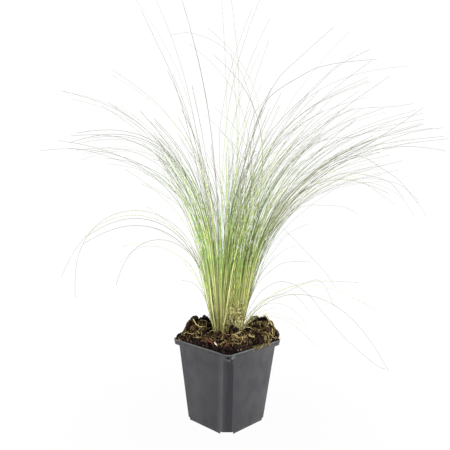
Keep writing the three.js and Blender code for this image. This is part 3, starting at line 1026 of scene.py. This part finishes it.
def partnerOf(blade, numbers):  # a blade that leaves the main one only slowly
    partner = dict(blade)
    partner["x"] += 0.4 * wobble(numbers)
    partner["y"] += 0.4 * wobble(numbers)
    partner["leanX"] += 0.6 * wobble(numbers)
    partner["leanY"] += 0.6 * wobble(numbers)
    share = 1 + 0.06 * wobble(numbers)
    partner["tipX"] = blade["tipX"] * share + 3 * wobble(numbers)
    partner["tipY"] = blade["tipY"] * share + 3 * wobble(numbers)
    partner["bow"] *= 1 + 0.06 * wobble(numbers)
    partner["length"] *= 1.01 - 0.28 * next(numbers)
    return partner


# Each blade has its own tone from 0 to 1, and its colour changes as it grows longer.
bladeColours = {
    "fresh": [
        (0.0, (0.34, 0.33, 0.12)),
        (0.06, (0.31, 0.33, 0.10)),
        (0.17, (0.24, 0.34, 0.075)),
        (0.32, (0.165, 0.225, 0.065)),
        (0.55, (0.11, 0.125, 0.068)),
        (1.0, (0.10, 0.105, 0.085)),
    ],
    "dry": [
        (0.0, (0.50, 0.45, 0.22)),
        (0.3, (0.30, 0.29, 0.12)),
        (1.0, (0.16, 0.15, 0.10)),
    ],
    "dryTones": (0.80, 0.88),
    "teal": [
        (0.0, (0.26, 0.29, 0.10)),
        (0.15, (0.12, 0.26, 0.07)),
        (0.4, (0.08, 0.15, 0.065)),
        (1.0, (0.07, 0.09, 0.07)),
    ],
    "tealTones": (0.12, 0.06),
    "shadeTurns": 37,  # how quickly the shade changes from tone to tone
    "shades": [
        (0.0, (0.18, 0.22, 0.14)),
        (0.45, (0.8, 0.8, 0.8)),
        (1.0, (2.1, 2.05, 2.4)),
    ],
    "paintedLift": (1.6, 1.55, 1.6, 1),  # painted light on the foot of the right clump, lifting it out of its shade
    "paintedLiftRight": (0, 0.006),
    "paintedLiftHeight": (0.20, 0.12),
    "darker": (0.32, 0.27, 0.12, 1),  # thin blades in the shade of the stout ones at the foot
    "darkerAlong": (0.17, 0.05),
    "darkerHeight": (0.175, 0.13),
    "tips": (0.12, 0.11, 0.085, 1),
    "tipsAlong": (0.72, 1, 0, 0.6),
}


def makeBladeMaterial():
    material, tree, shader = newMaterial("grass_blade", {"Roughness": 0.5,
                                                         "Specular IOR Level": 0.22})
    look = bladeColours
    tone, along, grown = (attributeNode(tree, name) for name in ("tone", "along", "grown"))
    colour = rampNode(tree, grown, look["fresh"])
    for kind in ("teal", "dry"):
        share = rangeNode(tree, tone, *look[kind + "Tones"])
        colour = mixNode(tree, share, colour, rampNode(tree, grown, look[kind]))
    # each blade a little darker or lighter than the next
    turns = mathNode(tree, "MULTIPLY", tone, look["shadeTurns"])
    shade = rampNode(tree, mathNode(tree, "FRACT", turns), look["shades"])
    colour = mixNode(tree, 1, colour, shade, "MULTIPLY")
    place = objectPlace(tree)
    height = newNode(tree, "SeparateXYZ", {"Vector": place}).outputs["Z"]
    rightward = (math.cos(plantTurn), math.sin(plantTurn), 0)
    across = newNode(tree, "VectorMath", {0: place, 1: rightward}, operation="DOT_PRODUCT")
    # painted light on the foot of the right clump, and painted shade on thin blades under the stout
    # ones at the foot
    for kind, value, side in (("paintedLift", across.outputs["Value"], "Right"),
                              ("darker", along, "Along")):
        share = mathNode(tree, "MULTIPLY", rangeNode(tree, value, *look[kind + side]),
                         rangeNode(tree, height, *look[kind + "Height"]))
        changed = mixNode(tree, 1, colour, look[kind], "MULTIPLY")
        colour = mixNode(tree, share, colour, changed)
    pale = rangeNode(tree, along, *look["tipsAlong"])
    colour = mixNode(tree, pale, colour, look["tips"])
    patches = mottleNode(tree, (0.86, 0.86, 0.86), (1.12, 1.12, 1.08), 160, 0.2)
    colour = mixNode(tree, 1, colour, patches["Colour"], "MULTIPLY")
    tree.links.new(colour, shader.inputs["Base Color"])
    linkBump(tree, shader, patches["Height"], 0.25, 0.0002)
    return material


bladeMaterial = makeBladeMaterial()
bladesMade = 0
for spray in sprays:
    strands = []
    for index, blade in spray["grown"].items():
        numbers = numbersFor(spray, index, 60)
        strands.append(bladeStrand(blade, 1, next(numbers)))
        # a blade that hangs low keeps apart from the others
        if next(numbers) < blades["partners"] and spray["tip"] < blades["lonely"]:
            partner = partnerOf(blade, numbers)
            strands.append(bladeStrand(partner, blades["partnerSize"], next(numbers)))
    # the fillers and the sheaths have streams of their own
    for kind, attempt in (("filler", 50), ("sheath", 51)):
        total = blades[kind + "s"]
        shortest, longest = blades[kind + "Length"]
        for index in range(total):
            numbers = numbersFor(spray, 40 + index, 10 + attempt)
            blade = drawBlade(spray, index, attempt, total)
            share = shortest + (longest - shortest) * next(numbers)
            # a short blade bends about as far as the foot of a long one
            bend = bendAt(blade, share)
            for side in ("X", "Y"):
                lean = blade["lean" + side]
                turned = (blade["tip" + side] - lean) * bend * blades["shortTurn"]
                blade["tip" + side] = lean + turned
            blade["length"] *= share
            tone = next(numbers)
            if kind == "sheath":
                greenest, driest = blades["sheathTone"][spray["side"]]
                tone = greenest + (driest - greenest) * tone
            strands.append(bladeStrand(blade, blades[kind + "Size"], tone))
    bladesMade += len(strands)
    finishPiece("fine_" + spray["name"], strandShape(strands), [bladeMaterial], "grass_blade",
                [spray["name"]])
print("blades made:", bladesMade)


# loose blades, young shoots and dead hairs

# loose blades given one by one: foot across and away, lean to the right and away at the foot and at
# the tip, in degrees, where they bend and length
looseBlades = [
    (14, -3, 30, -14, 128, -40, 0.7, 110),
    (16, 6, 26, 14, 130, 60, 0.8, 120),
    (15, 8, 1, 4, 42, 8, 1.2, 392),
    (14, 10, 2, 2, 50, 12, 1.3, 385),
    (14, 4, 0, -4, 84, -6, 1.6, 396),
    (-8, -2, -6, 4, -36, 6, 1.9, 412),
    (-7, -6, -7, -4, -30, -6, 2.2, 418),
    (-12, 2, -7, 2, -80, 6, 1.5, 372),
]

# loose blades that are laid through a few places: across, away and up
looseRoutes = [
    [(12, 0, 103), (21, 0, 116), (39, 2, 136), (60, 4, 143), (93, 9, 158), (107, 11, 159),
     (117, 13, 146), (125, 15, 129)],
    # the long one that hangs down low at the right
    [(12, -2, 103), (19, -2, 117), (36, -6, 147), (56, -9, 160), (73, -12, 158), (90, -16, 147),
     (104, -20, 130), (129, -23, 102), (162, -26, 74), (173, -30, 70)],
    [(10, 2, 103), (21, 1, 166), (33, -3, 207), (44, -6, 227), (59, -10, 221), (85, -13, 196),
     (107, -17, 173), (118, -20, 157)],
    [(13, 4, 103), (19, 6, 122), (34, 11, 153), (51, 16, 170), (68, 20, 179), (99, 30, 179)],
    [(13, 0, 103), (34, -2, 161), (49, -5, 183), (62, -8, 196), (75, -10, 201)],
    [(13, 5, 103), (39, 10, 171), (55, 13, 196), (71, 16, 214), (93, 20, 225)],
    [(14, 6, 103), (44, 13, 188), (65, 19, 227), (87, 24, 245), (114, 29, 247), (139, 35, 245),
     (158, 40, 236)],
    [(12, -3, 103), (19, -4, 117), (34, -6, 132), (52, -8, 144), (69, -11, 147), (80, -13, 142),
     (90, -15, 129)],
    [(14, 5, 103), (36, 9, 177), (65, 12, 227), (103, 15, 265), (134, 18, 272), (167, 21, 274),
     (196, 24, 263), (212, 27, 248), (222, 30, 234)],
    [(13, 2, 103), (38, -1, 186), (79, -4, 247), (134, -7, 276), (177, -11, 275), (199, -14, 263),
     (209, -17, 249), (215, -20, 237)],
    [(14, 0, 108), (18, -1, 124), (25, -2, 144), (33, -2, 172), (43, -3, 203), (62, -4, 250),
     (78, -5, 282)],
    [(15, 3, 108), (20, 4, 122), (28, 6, 143), (38, 8, 172), (49, 11, 203), (66, 15, 240),
     (84, 18, 262), (100, 21, 270)],
    [(14, -4, 108), (17, -6, 122), (22, -8, 142), (29, -10, 170), (38, -13, 204), (52, -17, 252)],
    [(10, 8, 108), (18, 12, 217), (25, 15, 298), (27, 19, 347), (20, 22, 378), (9, 26, 404),
     (-7, 29, 427), (-29, 33, 442), (-53, 36, 449), (-75, 40, 447)],
    [(6, 6, 108), (-9, 2, 251), (-13, -3, 318), (-9, -7, 356), (-3, -11, 388), (8, -16, 425),
     (20, -20, 457)],
    [(-13, -6, 103), (-31, -3, 153), (-44, -1, 176), (-60, 2, 188), (-81, 5, 196), (-105, 7, 194),
     (-126, 10, 177)],
    [(-12, -7, 103), (-27, -10, 142), (-38, -13, 157), (-53, -15, 161)],
]

# the long ones that stand out at the sides
longRoutes = [
    [(18, 2, 110), (38, 4, 197), (58, 5, 234), (81, 7, 260), (114, 9, 293), (149, 11, 310),
     (206, 12, 332), (246, 14, 339)],
    [(17, 4, 110), (35, 3, 197), (53, 3, 234), (80, 2, 263), (113, 2, 295), (146, 1, 311),
     (191, 1, 321), (240, 0, 327)],
    [(18, 2, 110), (40, 0, 197), (61, -3, 236), (84, -6, 259), (111, -8, 286), (143, -10, 305),
     (186, -13, 313), (213, -16, 312), (234, -18, 309)],
    [(17, 6, 110), (38, 9, 206), (58, 11, 241), (81, 14, 267), (116, 17, 294), (142, 19, 305),
     (159, 22, 303), (177, 25, 293), (202, 27, 277), (225, 30, 251)],
    [(18, 0, 110), (42, -4, 200), (68, -7, 239), (100, -11, 271), (126, -14, 283), (153, -18, 280),
     (174, -21, 273), (188, -25, 256)],
    [(12, 8, 110), (19, 14, 275), (29, 20, 339), (45, 26, 373), (81, 32, 399), (105, 38, 412),
     (136, 44, 420), (177, 50, 426)],
    [(13, 8, 110), (25, 5, 274), (42, 2, 323), (66, -1, 353), (89, -4, 374), (117, -7, 401),
     (151, -10, 419)],
    [(11, 8, 110), (15, 12, 275), (24, 15, 344), (38, 19, 366), (56, 23, 396), (79, 26, 419),
     (118, 30, 456)],
    [(16, 6, 110), (37, 11, 252), (63, 16, 299), (93, 21, 329), (134, 25, 356), (159, 30, 363),
     (192, 35, 366), (219, 40, 371)],
    [(17, 4, 110), (44, 2, 241), (70, 1, 273), (112, -1, 295), (134, -3, 305), (151, -5, 314),
     (188, -6, 339), (213, -8, 358)],
    [(-16, -4, 110), (-25, -3, 173), (-44, -2, 234), (-73, -2, 270), (-101, -1, 285),
     (-127, 0, 294), (-153, 1, 302), (-183, 2, 306), (-216, 2, 303)],
    [(-16, -2, 110), (-25, 0, 194), (-33, 2, 262), (-47, 4, 325), (-67, 6, 388), (-89, 8, 434),
     (-104, 10, 464)],
]

loose = {
    "size": 0.6,
    "fine": 0.8,
    "long": 1.15,
    "radii": (0.26, 0.17),
    "oldest": 0.5,
    "tones": (0.15, 0.8),
    "stepsBetween": 4,
}


def looseStrand(entry, tone):
    parts = ("x", "y", "leanX", "leanY", "tipX", "tipY", "bow", "length")
    return bladeStrand(dict(zip(parts, entry)), loose["size"], tone, loose["oldest"])


def routeStrand(route, tone, size):  # a smooth blade through its places
    places = [Vector(place) for place in route]
    places = [places[0]] + places + [places[-1]]
    path = []
    for before, start, end, after in zip(places, places[1:], places[2:], places[3:]):
        for i in range(loose["stepsBetween"]):
            t = i / loose["stepsBetween"]
            curve = (2 * start + (end - before) * t
                     + (2 * before - 5 * start + 4 * end - after) * t * t
                     + (3 * start - before - 3 * end + after) * t * t * t)
            path.append(onPlant(*(curve / 2)))
    path.append(onPlant(*places[-1]))
    thick, thin = loose["radii"]
    radii = [(thick + (thin - thick) * i / (len(path) - 1)) * size * mm for i in range(len(path))]
    return {"path": path, "radii": radii, "tone": tone, "grown": (loose["oldest"], 1)}


draw = random.Random(5)
strands = [looseStrand(entry, draw.uniform(*loose["tones"])) for entry in looseBlades]
for size, routes in ((loose["fine"], looseRoutes), (loose["long"], longRoutes)):
    strands += [routeStrand(route, draw.uniform(*loose["tones"]), size) for route in routes]
finishPiece("loose_blades", strandShape(strands), [bladeMaterial], "grass_blade")

young = {
    "shoots": 90,  # they fill the space between the two clumps
    "shootLength": (16, 120),
    "shootSize": (0.8, 1.8),
}
strands = []
for _ in range(young["shoots"]):
    share = draw.random()
    blade = {
        "x": clumps["left"][0] + 5 + (clumps["right"][0] - clumps["left"][0] - 10) * share,
        "y": clumps["left"][1] + 2 + 10 * share + draw.uniform(-5, 5),
        "leanX": draw.gauss(0, 9),
        "leanY": draw.gauss(4, 6),
        "bow": 1.3,
        "length": draw.uniform(*young["shootLength"]),
    }
    blade["tipX"] = blade["leanX"] + draw.gauss(0, 10)
    blade["tipY"] = blade["leanY"] + draw.gauss(0, 10)
    size = draw.uniform(*young["shootSize"])
    strands.append(bladeStrand(blade, size, draw.random(), drawnIn=False))
finishPiece("young_shoots", strandShape(strands), [bladeMaterial], "grass_blade")

dead = {
    "hairs": 60,
    "hairRing": (6.5, 9.5),  # they stand round each clump, this far across and away
    "hairLength": (8, 30),
    "hairSize": (0.35, 0.8),
    "tangled": 400,  # short curly hairs at the front of the right clump
    "middle": (8, -7, 120),
    "size": (9, 4, 15),
    "length": (4, 11),
    "radius": (0.1, 0.2),
    "curl": (0.36, 0.25, 0.36),
    "steps": 8,
}
strands = []
for _ in range(dead["hairs"]):
    clump = clumps[draw.choice(("left", "right", "right"))]
    turn = draw.uniform(0, 2 * math.pi)
    far = draw.uniform(0.6, 1)
    heading = turn + draw.gauss(0, 0.6)
    lean = draw.uniform(5, 60)
    tip = lean + draw.uniform(10, 110)
    width, depth = dead["hairRing"]
    blade = {
        "x": clump[0] + width * far * math.cos(turn),
        "y": clump[1] + depth * far * math.sin(turn),
        "leanX": lean * math.cos(heading),
        "leanY": lean * math.sin(heading),
        "tipX": tip * math.cos(heading + draw.gauss(0, 0.5)),
        "tipY": tip * math.sin(heading),
        "bow": draw.uniform(0.8, 1.6),
        "length": draw.uniform(*dead["hairLength"]),
    }
    strands.append(bladeStrand(blade, draw.uniform(*dead["hairSize"]), draw.uniform(0.88, 1)))
finishPiece("dead_hairs", strandShape(strands), [bladeMaterial], "grass_blade")

tangleMaterial = makeLitterMaterial("dead_tangle", [
    (0.0, (0.05, 0.045, 0.012)),
    (0.35, (0.27, 0.24, 0.085)),
    (0.7, (0.56, 0.53, 0.24)),
    (1.0, (0.85, 0.80, 0.52)),
], 0.7, 900)
strands = []
for _ in range(dead["tangled"]):
    point = Vector([middle + draw.gauss(0, 0.5) * size
                    for middle, size in zip(dead["middle"], dead["size"])])
    heading = Vector((draw.gauss(0, 1), draw.gauss(0, 0.6), draw.gauss(0.2, 1))).normalized()
    stride = draw.uniform(*dead["length"]) / dead["steps"]
    path = []
    for _ in range(dead["steps"] + 1):
        path.append(onPlant(*point))
        aside = Vector([draw.gauss(0, curl) for curl in dead["curl"]])
        heading = (heading + aside).normalized()
        point = point + heading * stride
    strands.append(plainStrand(path, draw.uniform(*dead["radius"]), draw.random()))
finishPiece("dead_tangle", strandShape(strands), [tangleMaterial], "grass_blade")
print("loose blades, shoots and hairs made")
